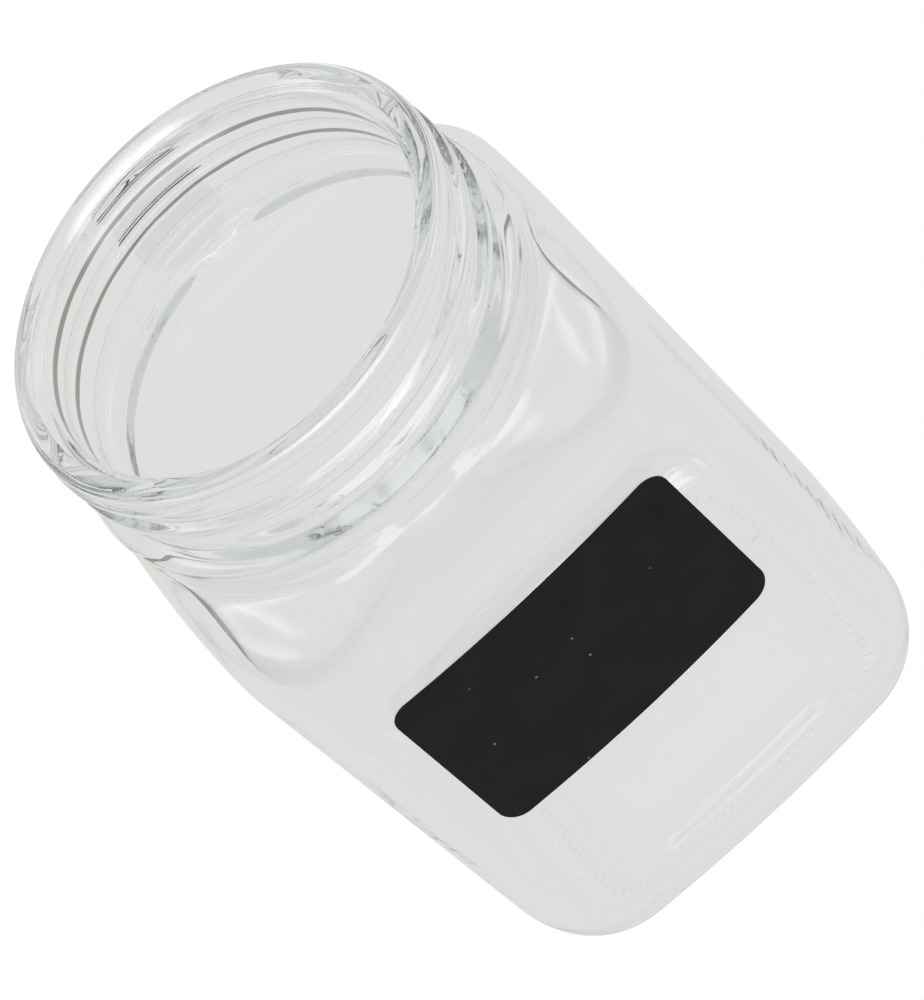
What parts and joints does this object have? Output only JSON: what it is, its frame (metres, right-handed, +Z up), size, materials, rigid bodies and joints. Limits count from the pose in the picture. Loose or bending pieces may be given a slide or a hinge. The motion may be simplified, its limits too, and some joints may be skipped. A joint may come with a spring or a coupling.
{
  "type": "specimen jar",
  "caption": "Square-bodied wide-mouth clear glass jar with a round screw-thread neck, soft shoulders and a black write-on label on one panel.",
  "frame": {"origin": "centre of the footprint, on the surface the jar stands on", "axes": "+Z up along the axis of the mouth, -Y out of the labelled panel, +X to the right as the label is read"},
  "size_m": [0.0918, 0.0922, 0.1463],
  "materials": {
    "clear_glass": "polished, faintly wavy, with a cool grey-green tint at thick edges",
    "label_film": "matte black write-on film with light chalk dust"
  },
  "bodies": {
    "root": {"glass_jar": "clear_glass", "label": "label_film"}
  },
  "joints": []
}
